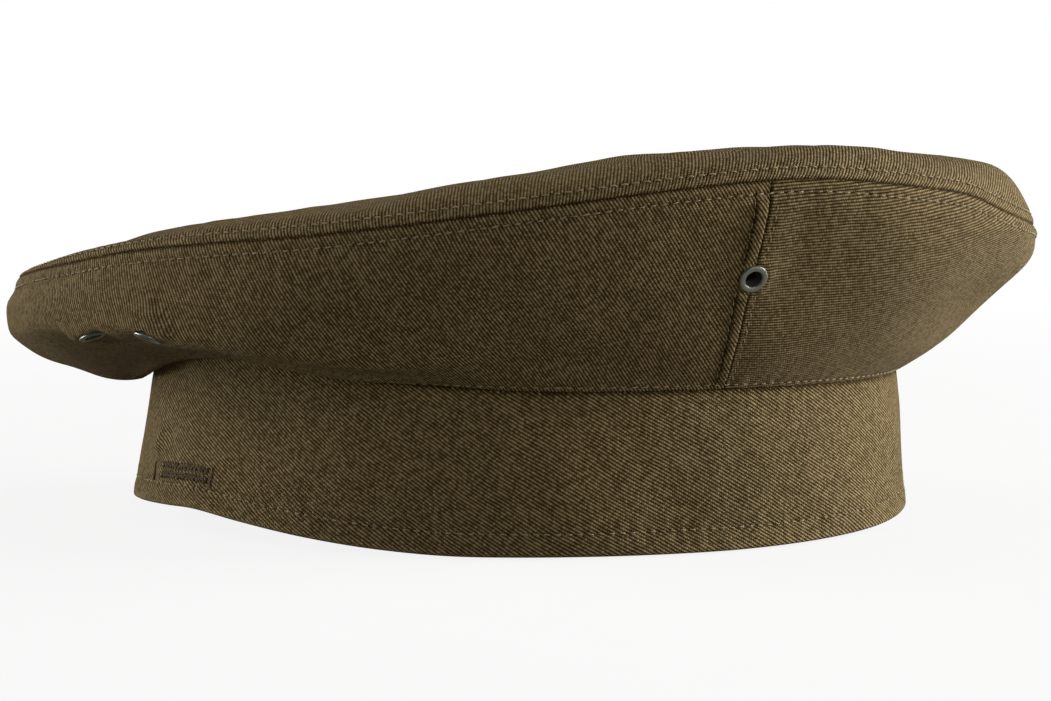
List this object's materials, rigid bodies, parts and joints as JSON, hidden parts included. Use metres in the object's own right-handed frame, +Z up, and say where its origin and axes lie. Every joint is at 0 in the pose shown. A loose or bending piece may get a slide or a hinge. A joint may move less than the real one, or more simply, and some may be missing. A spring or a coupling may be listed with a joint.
{
  "type": "service cap crown cover",
  "caption": "Soft olive twill crown cover of a peaked service cap: oval top, sewn quarters that overhang at the brow, stiffened band, metal vent eyelets and worked buttonholes.",
  "frame": {"origin": "middle of the head opening, on the plane the lower edge of the band rests on", "axes": "+X to the wearer's left, -Y to the brow, +Y to the nape, +Z up towards the top of the crown"},
  "size_m": [0.224, 0.2733, 0.0969],
  "materials": {
    "twill_cloth": "matte wool twill",
    "lining_cloth": "plain woven cotton, matte",
    "stiffening": "matte stiffened canvas",
    "hoop_plastic": "matte",
    "sewing_thread": "fine spun thread",
    "buttonhole_thread": "thick matte thread",
    "eyelet_metal": "satin grey-green enamel"
  },
  "bodies": {
    "root": {"top_panel": "twill_cloth", "front_quarter": "twill_cloth", "rear_quarter": "twill_cloth", "band_outer": "twill_cloth", "band_stiffener": "stiffening", "band_facing": "lining_cloth", "edge_hoop": "hoop_plastic", "hoop_ferrule": "eyelet_metal", "top_seam_tape": "lining_cloth", "band_seam_tape": "lining_cloth", "side_lap_left": "twill_cloth", "side_lap_right": "twill_cloth", "side_seam_tape_left": "lining_cloth", "side_seam_tape_right": "lining_cloth", "side_eyelet_left": "eyelet_metal", "side_eyelet_right": "eyelet_metal", "side_washer_left": "eyelet_metal", "side_washer_right": "eyelet_metal", "front_eyelets": "eyelet_metal", "front_washers": "eyelet_metal", "eyelet_patch_left": "lining_cloth", "eyelet_patch_right": "lining_cloth", "buttonhole_left": "buttonhole_thread", "buttonhole_right": "buttonhole_thread", "top_stitch_upper": "sewing_thread", "top_stitch_lower": "sewing_thread", "band_seam_stitch": "sewing_thread", "hem_stitch": "sewing_thread", "side_stitch_left": "sewing_thread", "side_stitch_right": "sewing_thread", "band_join_stitch": "sewing_thread"}
  },
  "joints": []
}
